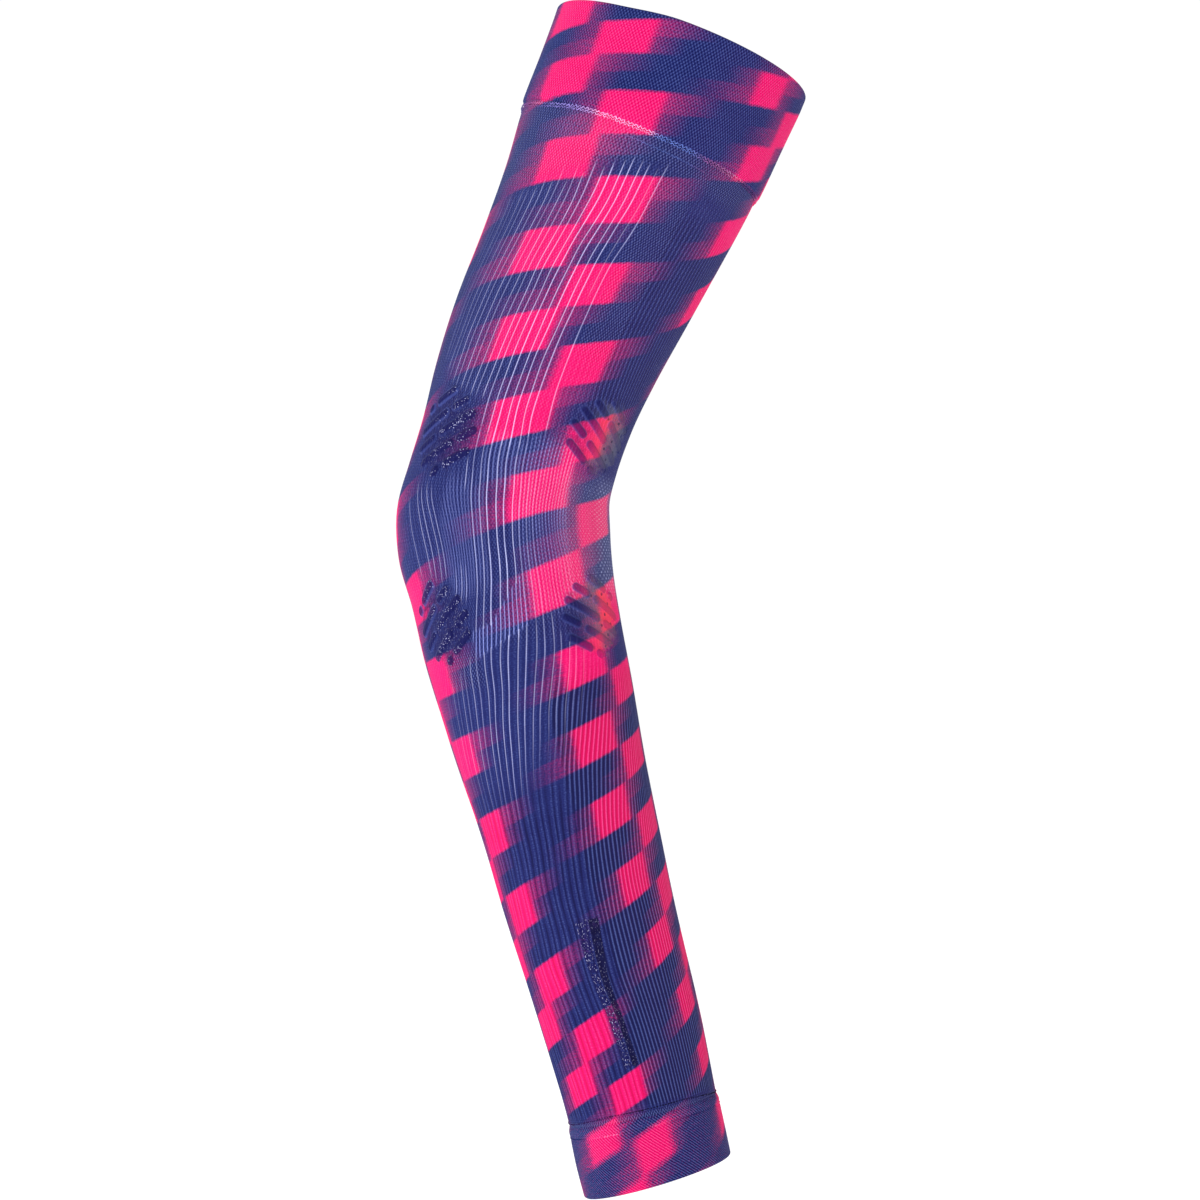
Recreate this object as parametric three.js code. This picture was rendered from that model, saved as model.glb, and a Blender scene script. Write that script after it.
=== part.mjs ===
// A knitted arm sleeve, shown as it sits on a slightly bent arm: a ribbed tube that runs from the
// upper arm over the elbow to the wrist, closed at each end by a turned, double-layer cuff.
// Millimetres, +Z up. The arm bends in the X-Z plane: the elbow's point faces -X, its crook +X.
// The origin is the middle of the upper opening, where the sleeve grips the upper arm.
import * as THREE from "three";

// ---- driving sizes -------------------------------------------------------------------------
const BODY_WALL = 1.2; // single layer of ribbed knit
const CUFF_WALL = 2.2; // turned knit, two layers
const UPPER_CUFF_HEIGHT = 41.6; // along the arm
const WRIST_CUFF_HEIGHT = 24.9;
const UPPER_CUFF_PROUD = 1.0; // how far a cuff's face stands over the ribbed tube beside it
const WRIST_CUFF_PROUD = 0.7;
const SEAM_GAP = 0.3; // between tube and cuff, where the real ones are linked stitch to stitch
const ROLL = 1.1; // how far back the rounded edge of a cuff starts
const SIDES = 40; // facets round the arm
const BODY_STEP = 9.4; // facet length along the arm
const CUFF_STEP = 10;

// ---- the sleeve's outline: one row for each section across the arm ---------------------------
// along: distance from the upper opening; x, z: middle of the section; tilt: how far the section
// turns down to the right, degrees; half_width: in the plane of the bend; half_depth: across it
const SECTION_COLUMNS = ["along", "x", "z", "tilt", "half_width", "half_depth"];
const SECTIONS = [
  [0.0, 0.0, 0.0, 20.7, 48.3, 48.3],
  [20.7, -7.8, -19.2, 21.3, 47.4, 47.4],
  [41.6, -16.1, -38.4, 22.6, 46.6, 46.6],
  [64.7, -24.9, -59.8, 23.9, 44.3, 44.0],
  [92.5, -36.3, -85.1, 24.5, 41.9, 41.3],
  [118.4, -47.0, -108.7, 22.7, 40.1, 39.2],
  [142.4, -55.6, -131.1, 18.4, 38.3, 37.2],
  [160.9, -60.8, -148.8, 14.9, 37.3, 36.0],
  [173.9, -64.2, -161.4, 10.8, 37.7, 36.2],
  [186.1, -66.4, -173.5, 2.9, 39.3, 37.7],
  [197.9, -66.0, -185.4, -5.6, 39.3, 37.7],
  [212.7, -63.2, -200.0, -10.6, 37.8, 37.1],
  [233.1, -59.4, -220.0, -12.6, 37.1, 37.7],
  [259.0, -53.1, -245.1, -14.2, 35.6, 36.5],
  [292.3, -44.8, -277.4, -14.2, 33.0, 33.9],
  [325.6, -36.7, -309.7, -14.5, 31.5, 31.8],
  [358.9, -27.9, -341.8, -15.4, 29.7, 29.4],
  [388.5, -20.3, -370.4, -13.9, 28.5, 27.8],
  [410.7, -15.1, -392.0, -12.9, 27.6, 26.7],
  [423.6, -12.4, -404.7, -15.6, 27.5, 26.5],
  [435.6, -9.6, -416.3, -16.6, 27.3, 26.3],
];
const LENGTH = SECTIONS[SECTIONS.length - 1][0];
const UPPER_SEAM = UPPER_CUFF_HEIGHT;
const WRIST_SEAM = LENGTH - WRIST_CUFF_HEIGHT;

// Smooth value of one named column at a distance along the arm: a cubic through the rows, whose
// slope at each row is the mean of its neighbours' slopes weighted by how near they are.
function column(name, along) {
  const c = SECTION_COLUMNS.indexOf(name);
  const last = SECTIONS.length - 1;
  const slope = (i) => {
    const step = (k) => SECTIONS[k + 1][0] - SECTIONS[k][0];
    const rise = (k) => (SECTIONS[k + 1][c] - SECTIONS[k][c]) / step(k);
    if (i === 0) return rise(0);
    if (i === last) return rise(last - 1);
    return (rise(i - 1) * step(i) + rise(i) * step(i - 1)) / (step(i - 1) + step(i));
  };
  let i = 0;
  while (i < last - 1 && along >= SECTIONS[i + 1][0]) i += 1;
  const h = SECTIONS[i + 1][0] - SECTIONS[i][0];
  const t = (along - SECTIONS[i][0]) / h;
  return (
    (2 * t ** 3 - 3 * t ** 2 + 1) * SECTIONS[i][c] +
    (t ** 3 - 2 * t ** 2 + t) * h * slope(i) +
    (3 * t ** 2 - 2 * t ** 3) * SECTIONS[i + 1][c] +
    (t ** 3 - t ** 2) * h * slope(i + 1)
  );
}

// A ring of points round the arm at one distance along it, lifted off the outline by `lift`.
function ring(along, lift) {
  const tilt = THREE.MathUtils.degToRad(column("tilt", along));
  const across = new THREE.Vector3(Math.cos(tilt), 0, -Math.sin(tilt));
  const front = new THREE.Vector3(0, -1, 0);
  const middle = new THREE.Vector3(column("x", along), 0, column("z", along));
  const a = column("half_width", along) + lift;
  const b = column("half_depth", along) + lift;
  return Array.from({ length: SIDES }, (_, k) => {
    const turn = (2 * Math.PI * k) / SIDES;
    return middle
      .clone()
      .addScaledVector(across, a * Math.cos(turn))
      .addScaledVector(front, b * Math.sin(turn));
  });
}

// A closed wall: its profile, a loop of [along, lift] points, is carried once round the arm.
function wall(profile) {
  const rings = profile.map(([along, lift]) => ring(along, lift));
  const position = rings.flat().flatMap((p) => p.toArray());
  const index = [];
  const at = (r, k) => (r % rings.length) * SIDES + (k % SIDES);
  for (let r = 0; r < rings.length; r += 1)
    for (let k = 0; k < SIDES; k += 1)
      index.push(
        at(r, k), at(r, k + 1), at(r + 1, k + 1),
        at(r, k), at(r + 1, k + 1), at(r + 1, k),
      );
  const geometry = new THREE.BufferGeometry();
  geometry.setAttribute("position", new THREE.Float32BufferAttribute(position, 3));
  geometry.setIndex(index);
  geometry.computeVertexNormals();
  return geometry;
}

// Distances from one end of a piece to the other, about `step` apart.
const stations = (from, to, step) => {
  const n = Math.round(Math.abs(to - from) / step);
  return Array.from({ length: n + 1 }, (_, i) => from + ((to - from) * i) / n);
};

// The ribbed tube: one layer, butted to both cuffs.
const bodyAlong = stations(UPPER_SEAM + SEAM_GAP / 2, WRIST_SEAM - SEAM_GAP / 2, BODY_STEP);
const bodyProfile = [
  ...bodyAlong.map((s) => [s, 0]),
  ...bodyAlong.toReversed().map((s) => [s, -BODY_WALL]),
];

// A cuff: two layers, proud of the tube, with a rolled free edge.
function cuffProfile(rim, seam, proud) {
  const inward = Math.sign(seam - rim);
  const outer = [
    [rim, proud - CUFF_WALL / 2 + 0.25],
    [rim + inward * ROLL * 0.3, proud - 0.3],
    ...stations(rim + inward * ROLL, seam, CUFF_STEP).map((s) => [s, proud]),
  ];
  const inner = [
    ...stations(seam, rim + inward * ROLL, CUFF_STEP).map((s) => [s, proud - CUFF_WALL]),
    [rim + inward * ROLL * 0.3, proud - CUFF_WALL + 0.3],
    [rim, proud - CUFF_WALL / 2 - 0.25],
  ];
  const loop = [...outer, ...inner];
  return inward > 0 ? loop : loop.toReversed();
}
const upperProfile = cuffProfile(0, UPPER_SEAM - SEAM_GAP / 2, UPPER_CUFF_PROUD);
const wristProfile = cuffProfile(LENGTH, WRIST_SEAM + SEAM_GAP / 2, WRIST_CUFF_PROUD);

// ---- the pieces ------------------------------------------------------------------------------
const knit = (color, roughness) =>
  new THREE.MeshStandardMaterial({ color, roughness, metalness: 0, side: THREE.FrontSide });

const sleeve = new THREE.Group();
sleeve.name = "arm_sleeve";
const pieces = [
  ["upper_cuff", upperProfile, knit(0x55326f, 0.85)],
  ["sleeve_body", bodyProfile, knit(0x4d3573, 0.9)],
  ["wrist_cuff", wristProfile, knit(0x4f3270, 0.85)],
];
for (const [name, profile, material] of pieces) {
  const mesh = new THREE.Mesh(wall(profile), material);
  mesh.name = name;
  sleeve.add(mesh);
}

export default sleeve;
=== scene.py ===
"""A knitted arm sleeve, held as it sits on a slightly bent arm: a ribbed tube with a turned cuff at each end.

Lengths in the tables are millimetres and angles are degrees. A place on the knit is given by how far it lies along the
sleeve from the upper rim, and by its turn round the sleeve: 0 at the crook (+X), 90 at the front (-Y), 180 at the elbow's
point (-X), 270 at the back.
"""

import math

import bpy
import numpy as np
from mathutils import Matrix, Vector


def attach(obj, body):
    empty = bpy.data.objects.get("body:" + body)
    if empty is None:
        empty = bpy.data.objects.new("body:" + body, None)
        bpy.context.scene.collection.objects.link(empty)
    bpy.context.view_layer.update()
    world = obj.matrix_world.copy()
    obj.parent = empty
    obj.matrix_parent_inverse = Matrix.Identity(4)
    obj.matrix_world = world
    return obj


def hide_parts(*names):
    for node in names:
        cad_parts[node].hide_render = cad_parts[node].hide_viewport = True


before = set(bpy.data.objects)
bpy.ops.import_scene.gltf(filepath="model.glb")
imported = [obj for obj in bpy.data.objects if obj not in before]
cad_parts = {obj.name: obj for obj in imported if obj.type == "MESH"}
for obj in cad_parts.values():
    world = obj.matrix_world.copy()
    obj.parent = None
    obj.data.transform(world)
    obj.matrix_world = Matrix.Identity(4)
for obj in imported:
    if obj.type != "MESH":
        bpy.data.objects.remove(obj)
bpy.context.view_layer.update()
MM = 0.001

# ---------------------------------------------------------------- the sleeve's form
BODY_WALL = 1.2
CUFF_WALL = 2.2
UPPER_CUFF_HEIGHT = 41.6
WRIST_CUFF_HEIGHT = 24.9
UPPER_CUFF_PROUD = 1.0
WRIST_CUFF_PROUD = 0.7
ROLL = 1.1  # radius of the turned free edges

SECTION_COLUMNS = ["along", "x", "z", "tilt", "half_width", "half_depth"]
SECTIONS = np.array([
    [0.0, 0.0, 0.0, 20.7, 48.3, 48.3],
    [20.7, -7.8, -19.2, 21.3, 47.4, 47.4],
    [41.6, -16.1, -38.4, 22.6, 46.6, 46.6],
    [64.7, -24.9, -59.8, 23.9, 44.3, 44.0],
    [92.5, -36.3, -85.1, 24.5, 41.9, 41.3],
    [118.4, -47.0, -108.7, 22.7, 40.1, 39.2],
    [142.4, -55.6, -131.1, 18.4, 38.3, 37.2],
    [160.9, -60.8, -148.8, 14.9, 37.3, 36.0],
    [173.9, -64.2, -161.4, 10.8, 37.7, 36.2],
    [186.1, -66.4, -173.5, 2.9, 39.3, 37.7],
    [197.9, -66.0, -185.4, -5.6, 39.3, 37.7],
    [212.7, -63.2, -200.0, -10.6, 37.8, 37.1],
    [233.1, -59.4, -220.0, -12.6, 37.1, 37.7],
    [259.0, -53.1, -245.1, -14.2, 35.6, 36.5],
    [292.3, -44.8, -277.4, -14.2, 33.0, 33.9],
    [325.6, -36.7, -309.7, -14.5, 31.5, 31.8],
    [358.9, -27.9, -341.8, -15.4, 29.7, 29.4],
    [388.5, -20.3, -370.4, -13.9, 28.5, 27.8],
    [410.7, -15.1, -392.0, -12.9, 27.6, 26.7],
    [423.6, -12.4, -404.7, -15.6, 27.5, 26.5],
    [435.6, -9.6, -416.3, -16.6, 27.3, 26.3],
])
LENGTH = SECTIONS[-1, 0]
UPPER_SEAM = UPPER_CUFF_HEIGHT
WRIST_SEAM = LENGTH - WRIST_CUFF_HEIGHT


def column(name, along):
    """A column of the section table at any place along the sleeve, on a smooth curve through its rows."""
    xs, ys = SECTIONS[:, 0], SECTIONS[:, SECTION_COLUMNS.index(name)]
    h, d = np.diff(xs), np.diff(ys) / np.diff(xs)
    slope = np.concatenate([d[:1], (d[:-1] * h[1:] + d[1:] * h[:-1]) / (h[:-1] + h[1:]), d[-1:]])
    i = np.clip(np.searchsorted(xs, along, side="right") - 1, 0, len(xs) - 2)
    w = h[i]
    t = (along - xs[i]) / w
    return (
        (2 * t**3 - 3 * t**2 + 1) * ys[i]
        + (t**3 - 2 * t**2 + t) * w * slope[i]
        + (3 * t**2 - 2 * t**3) * ys[i + 1]
        + (t**3 - t**2) * w * slope[i + 1]
    )


def on_sleeve(along, turn, lift):
    """Points at these places, in metres; lift is the height above the body's outer face."""
    tilt, angle = np.radians(column("tilt", along)), np.radians(turn)
    a, b = column("half_width", along) + lift, column("half_depth", along) + lift
    return MM * np.stack(
        [
            column("x", along) + a * np.cos(angle) * np.cos(tilt),
            -b * np.sin(angle),
            column("z", along) - a * np.cos(angle) * np.sin(tilt),
        ],
        axis=-1,
    )


def step(x, low, high):
    t = np.clip((x - low) / (high - low), 0, 1)
    return t * t * (3 - 2 * t)


def band(x, low, high, soft):
    return step(x, low - soft / 2, low + soft / 2) * (1 - step(x, high - soft / 2, high + soft / 2))


def front(turn):
    """The turn as a number from -90 to 270, which has no jump at the sides or the front."""
    return np.mod(turn + 90, 360) - 90


# ---------------------------------------------------------------- ribs
RIBS = 96  # coarse ribs round the sleeve, in pairs
RIB_SHIFT = 0.26  # the first rib's place, in ribs from the crook
# How far each rib has drifted round the sleeve, in degrees: a row for every 10 mm from 40 mm down, and a column for every
# 15 degrees of the rib's turn at the top, from -90.
DRIFT_FROM, DRIFT_STEP = 40.0, 10.0
DRIFT = np.array([
    [0.1, 0.1, 0.1, 0.1, 0.1, -0.2, -0.8, -1.8, -3.0, -4.4, -5.6, -6.2, -6.1, -5.3, -4.5, -3.6, -2.7, -1.7, -0.8, -0.3, 0.0, 0.1, 0.1, 0.1],
    [0.1, 0.1, 0.1, 0.1, 0.0, -0.2, -0.6, -1.3, -2.3, -3.5, -4.6, -5.5, -5.4, -4.9, -4.4, -3.9, -3.0, -1.9, -0.9, -0.3, 0.0, 0.1, 0.1, 0.1],
    [0.1, 0.1, 0.1, 0.0, 0.0, -0.2, -0.5, -0.9, -1.6, -2.5, -3.5, -4.4, -4.7, -4.6, -4.6, -4.2, -3.2, -2.0, -0.9, -0.3, 0.0, 0.1, 0.1, 0.1],
    [0.1, 0.0, 0.0, 0.0, -0.1, -0.2, -0.4, -0.7, -1.0, -1.5, -2.3, -3.3, -4.0, -4.3, -4.5, -4.3, -3.2, -2.0, -0.9, -0.3, 0.1, 0.1, 0.1, 0.1],
    [0.1, 0.0, 0.0, 0.0, -0.1, -0.2, -0.4, -0.6, -0.7, -0.8, -1.1, -1.8, -2.5, -3.0, -3.5, -3.7, -3.1, -1.9, -0.8, -0.2, 0.1, 0.1, 0.1, 0.1],
    [0.0, 0.0, 0.0, 0.0, -0.1, -0.3, -0.5, -0.7, -0.7, -0.5, -0.2, -0.3, -0.8, -1.4, -2.0, -2.3, -2.1, -1.3, -0.6, -0.1, 0.1, 0.1, 0.1, 0.1],
    [0.0, 0.1, 0.1, 0.0, -0.2, -0.4, -0.8, -1.0, -1.0, -0.7, -0.2, 0.1, -0.1, -0.1, -0.3, -0.4, -0.5, -0.4, -0.2, 0.0, 0.1, 0.1, 0.0, 0.0],
    [0.0, 0.1, 0.1, 0.0, -0.2, -0.5, -1.1, -1.5, -1.7, -1.5, -0.9, -0.3, -0.1, 0.2, 0.5, 1.0, 1.0, 0.7, 0.4, 0.2, 0.1, 0.0, 0.0, 0.0],
    [0.0, 0.1, 0.1, 0.1, -0.2, -0.6, -1.4, -2.2, -2.7, -2.7, -2.0, -0.8, 0.3, 1.0, 1.5, 2.1, 2.4, 1.7, 0.9, 0.4, 0.1, -0.1, -0.1, 0.0],
    [0.0, 0.1, 0.1, 0.1, -0.2, -0.7, -1.6, -2.7, -3.8, -4.2, -3.3, -1.1, 0.8, 1.7, 2.7, 3.2, 3.2, 2.5, 1.4, 0.5, 0.0, -0.1, -0.1, -0.1],
    [0.0, 0.1, 0.1, 0.1, -0.2, -0.8, -1.8, -3.1, -4.5, -5.5, -4.8, -1.6, 0.7, 2.1, 3.3, 4.4, 4.2, 3.1, 1.7, 0.6, 0.0, -0.2, -0.2, -0.1],
    [0.0, 0.1, 0.1, 0.1, -0.2, -0.8, -1.9, -3.3, -4.8, -5.9, -5.6, -2.6, 0.5, 3.2, 4.8, 5.5, 4.9, 3.4, 1.7, 0.5, -0.1, -0.3, -0.2, -0.1],
    [0.0, 0.1, 0.1, 0.0, -0.3, -0.9, -2.0, -3.3, -4.6, -5.4, -4.9, -3.2, -0.6, 3.1, 5.3, 6.0, 5.1, 3.2, 1.4, 0.3, -0.2, -0.3, -0.2, -0.1],
    [-0.1, 0.0, 0.0, -0.1, -0.4, -1.0, -2.1, -3.2, -4.1, -4.6, -4.4, -3.9, -1.5, 2.2, 4.5, 5.5, 4.4, 2.4, 0.8, 0.0, -0.2, -0.3, -0.2, -0.1],
    [-0.1, -0.1, -0.1, -0.2, -0.5, -1.2, -2.1, -3.1, -3.8, -3.9, -4.0, -4.4, -4.0, -0.6, 1.2, 2.9, 2.2, 0.7, 0.0, -0.2, -0.3, -0.2, -0.2, -0.2],
    [-0.2, -0.1, -0.1, -0.3, -0.6, -1.3, -2.3, -3.2, -3.7, -3.8, -3.8, -4.5, -5.0, -3.2, -3.8, -4.3, -2.1, -1.3, -0.7, -0.4, -0.2, -0.2, -0.2, -0.2],
    [-0.2, -0.2, -0.2, -0.3, -0.7, -1.4, -2.4, -3.5, -4.1, -4.3, -4.1, -4.5, -4.4, -3.2, -5.2, -7.4, -5.8, -3.0, -1.2, -0.4, -0.2, -0.2, -0.2, -0.2],
    [-0.1, 0.0, 0.0, -0.2, -0.6, -1.4, -2.6, -3.8, -4.7, -5.2, -5.0, -4.2, -2.7, -0.4, -2.5, -4.6, -4.5, -2.9, -1.2, -0.3, -0.1, -0.1, -0.1, -0.1],
    [0.2, 0.3, 0.3, 0.2, -0.2, -1.1, -2.5, -4.1, -5.4, -6.1, -5.7, -4.0, -0.9, 3.0, 2.5, 0.5, -0.7, -0.8, -0.3, 0.1, 0.2, 0.2, 0.1, 0.2],
    [0.9, 1.0, 1.0, 0.9, 0.5, -0.5, -2.1, -4.0, -5.7, -6.5, -5.9, -3.3, 1.2, 6.1, 7.5, 6.3, 4.4, 2.7, 1.6, 1.0, 0.8, 0.7, 0.7, 0.8],
    [2.1, 2.2, 2.3, 2.1, 1.6, 0.6, -1.1, -3.3, -5.3, -6.0, -4.4, -0.9, 5.1, 10.0, 12.4, 12.1, 9.8, 6.7, 4.1, 2.5, 1.9, 1.7, 1.8, 1.9],
    [3.8, 3.9, 4.0, 3.8, 3.3, 2.2, 0.4, -1.7, -3.5, -4.1, -0.5, 4.4, 9.2, 13.0, 16.3, 17.6, 15.1, 10.9, 7.1, 4.6, 3.5, 3.2, 3.3, 3.5],
    [5.9, 6.1, 6.1, 5.9, 5.4, 4.2, 2.5, 0.8, -0.1, 1.1, 5.3, 10.1, 13.9, 17.2, 20.4, 22.1, 19.5, 14.7, 10.1, 7.1, 5.7, 5.3, 5.4, 5.7],
    [8.4, 8.6, 8.6, 8.4, 7.8, 6.7, 5.2, 4.0, 4.2, 6.6, 10.6, 14.5, 18.2, 21.1, 24.1, 25.7, 23.0, 17.9, 13.1, 9.8, 8.3, 7.8, 7.9, 8.1],
    [11.1, 11.2, 11.3, 11.1, 10.5, 9.6, 8.4, 7.8, 8.6, 11.9, 15.8, 19.2, 22.0, 24.3, 27.1, 28.5, 25.3, 20.4, 15.7, 12.6, 11.1, 10.6, 10.6, 10.8],
    [13.8, 13.9, 13.9, 13.8, 13.3, 12.6, 11.9, 11.7, 13.1, 16.5, 20.0, 22.9, 25.3, 27.1, 29.0, 29.3, 26.5, 22.3, 18.1, 15.3, 13.9, 13.4, 13.4, 13.6],
    [16.4, 16.5, 16.5, 16.3, 16.0, 15.6, 15.3, 15.7, 17.4, 20.7, 23.5, 25.6, 27.3, 29.0, 30.0, 29.5, 27.2, 23.7, 20.3, 17.8, 16.6, 16.1, 16.1, 16.2],
    [18.8, 18.8, 18.8, 18.7, 18.5, 18.4, 18.5, 19.2, 21.1, 23.9, 26.1, 27.4, 28.5, 29.5, 30.4, 29.8, 27.8, 24.9, 22.0, 20.0, 18.9, 18.5, 18.5, 18.6],
    [20.7, 20.7, 20.7, 20.5, 20.5, 20.6, 21.1, 22.1, 23.7, 26.1, 28.3, 29.7, 30.7, 31.1, 31.3, 30.5, 28.6, 25.9, 23.4, 21.7, 20.8, 20.5, 20.5, 20.6],
    [22.1, 22.1, 22.0, 21.9, 21.8, 22.0, 22.8, 24.0, 25.2, 27.6, 29.9, 31.1, 31.9, 32.6, 32.8, 31.7, 29.4, 26.7, 24.4, 22.9, 22.2, 21.9, 21.9, 22.0],
    [23.0, 23.0, 22.9, 22.7, 22.5, 22.6, 23.2, 24.0, 25.5, 28.6, 30.7, 31.5, 33.2, 35.0, 35.0, 32.9, 30.1, 27.3, 25.0, 23.6, 23.0, 22.8, 22.8, 22.9],
    [23.5, 23.5, 23.3, 23.1, 22.8, 22.5, 22.4, 23.3, 25.5, 29.3, 31.7, 33.0, 35.2, 37.0, 36.4, 33.8, 30.7, 27.7, 25.3, 24.0, 23.3, 23.2, 23.3, 23.4],
    [23.5, 23.5, 23.4, 23.1, 22.6, 22.0, 21.6, 23.1, 25.7, 29.3, 31.5, 32.5, 34.3, 36.4, 36.4, 34.0, 30.8, 27.7, 25.3, 23.9, 23.3, 23.2, 23.3, 23.4],
    [23.2, 23.2, 23.1, 22.8, 22.2, 21.6, 21.5, 23.1, 25.3, 27.9, 29.6, 30.5, 32.4, 34.6, 35.2, 33.6, 30.6, 27.5, 25.1, 23.6, 23.0, 22.8, 22.9, 23.1],
    [22.6, 22.6, 22.5, 22.2, 21.8, 21.4, 21.5, 22.9, 24.3, 26.3, 27.8, 29.0, 31.1, 33.2, 34.0, 32.5, 29.9, 26.9, 24.5, 23.1, 22.4, 22.2, 22.3, 22.5],
    [21.8, 21.8, 21.7, 21.5, 21.3, 21.2, 21.5, 22.5, 23.6, 25.2, 26.7, 27.7, 29.7, 31.5, 32.3, 31.2, 28.8, 26.1, 23.8, 22.4, 21.7, 21.5, 21.6, 21.7],
    [20.9, 21.0, 20.9, 20.8, 20.8, 20.9, 21.3, 22.0, 22.9, 24.4, 25.8, 26.9, 28.5, 30.2, 30.7, 29.6, 27.6, 25.1, 23.0, 21.6, 20.9, 20.7, 20.8, 20.9],
    [20.1, 20.1, 20.1, 20.1, 20.3, 20.6, 21.1, 21.6, 22.4, 23.5, 24.8, 26.1, 27.5, 28.6, 28.8, 28.0, 26.2, 24.1, 22.1, 20.8, 20.2, 19.9, 19.9, 20.0],
])


def on_grid(grid, y, x):
    """Smooth values between the nodes of a grid that wraps round across."""

    def cubic(p0, p1, p2, p3, t):
        return p1 + 0.5 * t * (p2 - p0 + t * (2 * p0 - 5 * p1 + 4 * p2 - p3 + t * (3 * (p1 - p2) + p3 - p0)))

    j, i = np.floor(y).astype(int), np.floor(x).astype(int)
    ty, tx = (y - j)[:, None], (x - i)[None, :]
    down = [np.clip(j + k, 0, grid.shape[0] - 1)[:, None] for k in (-1, 0, 1, 2)]
    across = [((i + m) % grid.shape[1])[None, :] for m in (-1, 0, 1, 2)]
    return cubic(*[cubic(*[grid[d, a] for a in across], tx) for d in down], ty)


def smooth_noise(seed, rows, columns, along_cells, round_cells):
    """Soft noise over the knit, the same at both edges of the wrap."""
    grid = np.random.default_rng(seed).standard_normal((along_cells + 1, round_cells))
    return 0.8 * on_grid(grid, np.clip(rows, 0, 1) * (along_cells - 1e-6), np.mod(columns, 1) * round_cells)


def rib_turn(along, base):
    """The turn of each rib line (base, its turn at the top) at each place along: a grid of along by base."""
    y = np.clip((along - DRIFT_FROM) / DRIFT_STEP, 0, len(DRIFT) - 1 - 1e-6)
    return base[None, :] + on_grid(DRIFT, y, np.mod(base + 90, 360) / (360 / DRIFT.shape[1]))


# Pale lines, one to a rib: where each begins and ends on the upper arm and its strength there, its strength round the
# elbow and where it shows there, and the same for the forearm.
LINE_COLUMNS = ["rib", "from", "to", "upper", "elbow", "elbow_from", "elbow_to", "fore_from", "fore_to", "fore"]
LINES = np.array([
    [16, 0, 0, 0, 0, 0, 0, 240, 272, 0.22],
    [17, 0, 0, 0, 0, 0, 0, 238, 274, 0.32],
    [18, 0, 0, 0, 0, 0, 0, 236, 278, 0.40],
    [19, 0, 0, 0, 0, 0, 0, 234, 280, 0.44],
    [20, 0, 0, 0, 0, 0, 0, 227, 276, 0.56],
    [21, 47, 156, 0.60, 0.18, 168, 230, 227, 280, 0.58],
    [22, 50, 104, 0.34, 0.26, 170, 230, 229, 286, 0.58],
    [23, 50, 160, 0.84, 0.36, 160, 232, 229, 290, 0.80],
    [24, 50, 165, 0.80, 0.78, 165, 235, 229, 292, 0.74],
    [25, 50, 166, 1.00, 1.00, 165, 235, 229, 295, 0.94],
    [26, 52, 166, 0.86, 0.92, 165, 235, 229, 295, 0.76],
    [27, 54, 166, 1.00, 0.94, 165, 235, 229, 296, 0.74],
    [28, 57, 162, 0.78, 0.58, 162, 235, 232, 296, 0.68],
    [29, 56, 160, 0.72, 0.62, 160, 232, 234, 292, 0.38],
    [30, 62, 150, 0.82, 0.62, 171, 181, 236, 296, 0.56],
    [31, 60, 150, 0.50, 0.50, 205, 217, 237, 288, 0.30],
    [32, 66, 150, 0.64, 0.55, 204, 217, 240, 294, 0.48],
    [33, 63, 149, 0.44, 0.50, 206, 216, 243, 284, 0.18],
    [34, 68, 149, 0.68, 0.0, 0, 0, 243, 290, 0.32],
    [35, 68, 148, 0.46, 0.46, 181, 208, 0, 0, 0],
    [36, 72, 147, 0.62, 0.48, 180, 209, 245, 286, 0.18],
    [37, 74, 145, 0.35, 0.50, 181, 208, 0, 0, 0],
    [38, 74, 144, 0.40, 0.48, 180, 207, 0, 0, 0],
    [39, 78, 140, 0.18, 0.0, 0, 0, 0, 0, 0],
    [40, 76, 140, 0.28, 0.38, 184, 206, 0, 0, 0],
    [41, 80, 130, 0.14, 0.0, 0, 0, 0, 0, 0],
    [42, 78, 126, 0.14, 0.0, 0, 0, 0, 0, 0],
])


def line_strength(along, rib):
    """How strongly the pale line of the nearest rib shows at each place."""
    k = np.round(rib).astype(int) - int(LINES[0, 0])
    known = (k >= 0) & (k < len(LINES))
    _, a, b, upper, elbow, c, d, e, f, fore = np.moveaxis(LINES[np.clip(k, 0, len(LINES) - 1)], -1, 0)
    upper = 0.88 * upper * step(along, a + 1.0, a + 5.5) * (1 - step(along, b - 3, b + 1))
    dip = 1 - 0.35 * band(along, 164, 175, 6) * (rib < 29.5)
    elbow = elbow * step(along, c - 1.5, c + 2.5) * (1 - step(along, d - 3, d + 1)) * dip
    fore = 0.74 * fore * step(along, e - 1.5, e + 2.5) * (1 - step(along, f - 28, f + 7))
    return np.where(known, np.max([upper, elbow, fore], axis=0), 0.0)


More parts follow.
